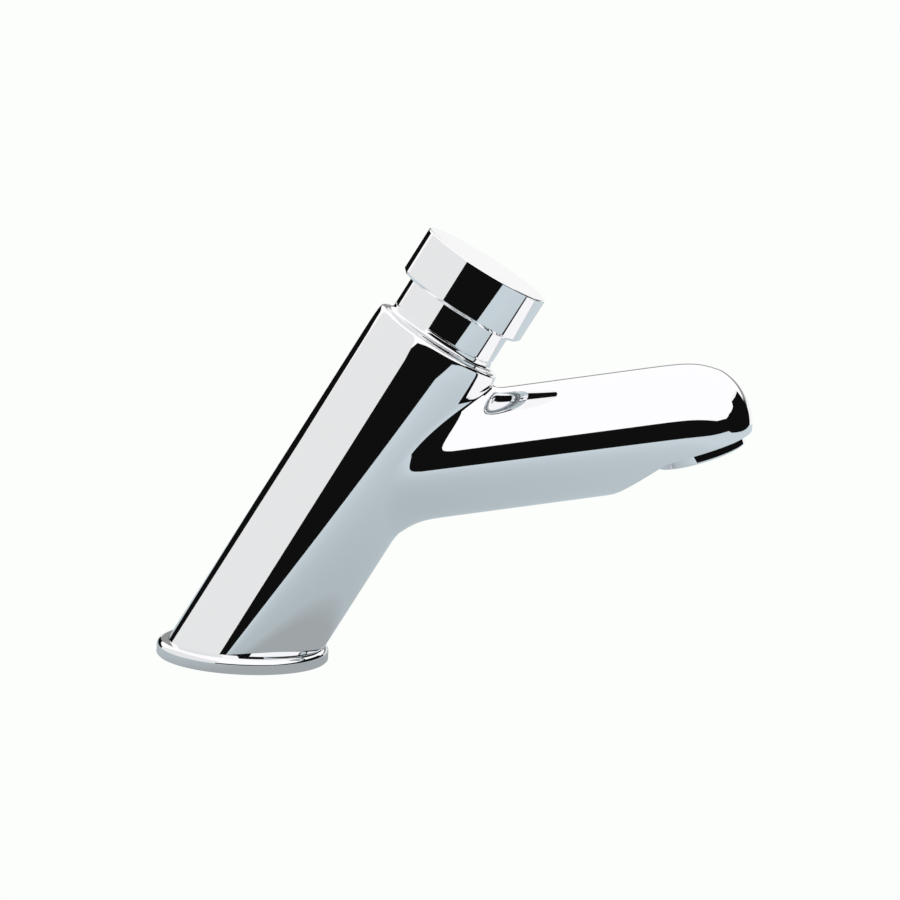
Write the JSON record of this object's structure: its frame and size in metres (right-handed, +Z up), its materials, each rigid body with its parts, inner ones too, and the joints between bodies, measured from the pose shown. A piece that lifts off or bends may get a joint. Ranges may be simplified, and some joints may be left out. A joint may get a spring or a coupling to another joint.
{
  "type": "self-closing basin tap",
  "caption": "Deck-mounted basin tap with a leaning round body, a fixed round spout with an aerator, and a sprung push button over a timed-flow cartridge.",
  "frame": {"origin": "centre of the tap hole, on the basin's top face where the flange rests", "axes": "+X forward along the spout, +Z up along the tail's axis, +Y to the left seen from behind the tap"},
  "size_m": [0.172, 0.051, 0.1868],
  "materials": {
    "chrome": "polished chrome plate on brass",
    "brass": "turned brass",
    "stainless": "drawn and stamped stainless steel",
    "rubber": "matt black rubber",
    "plastic": "moulded acetal"
  },
  "bodies": {
    "tap": {"tap_body": "chrome", "base_flange": "chrome", "base_seal": "rubber", "inlet_shank": "brass", "shank_o_ring": "rubber", "deck_washer": "rubber", "clamp_washer": "stainless", "lock_nut": "brass", "head_collar": "chrome", "collar_o_ring": "rubber", "stem_guide": "brass", "stem_seal": "rubber", "spring_seat": "stainless", "cartridge_sleeve": "brass", "sleeve_o_ring_lower": "rubber", "sleeve_o_ring_upper": "rubber", "chamber_gasket": "rubber", "cartridge_strainer": "stainless", "valve_seat": "brass", "return_spring": "stainless", "aerator_housing": "chrome", "aerator_insert": "plastic", "aerator_screen": "stainless", "flow_regulator": "plastic", "aerator_seal": "rubber"},
    "button": {"push_cap": "chrome", "cap_liner": "plastic", "stem": "stainless", "piston": "plastic", "lip_seal": "rubber", "piston_ring": "stainless", "valve_washer": "rubber", "valve_head": "brass"}
  },
  "joints": [
    {"name": "button_press", "type": "slide", "parent": "tap", "child": "button", "axis": [-0.4863, 0, -0.8738], "range_m": [0, 0.006], "stiffness_N_per_m": 1200, "springref_m": -0.008, "deforming": ["return_spring"]}
  ]
}
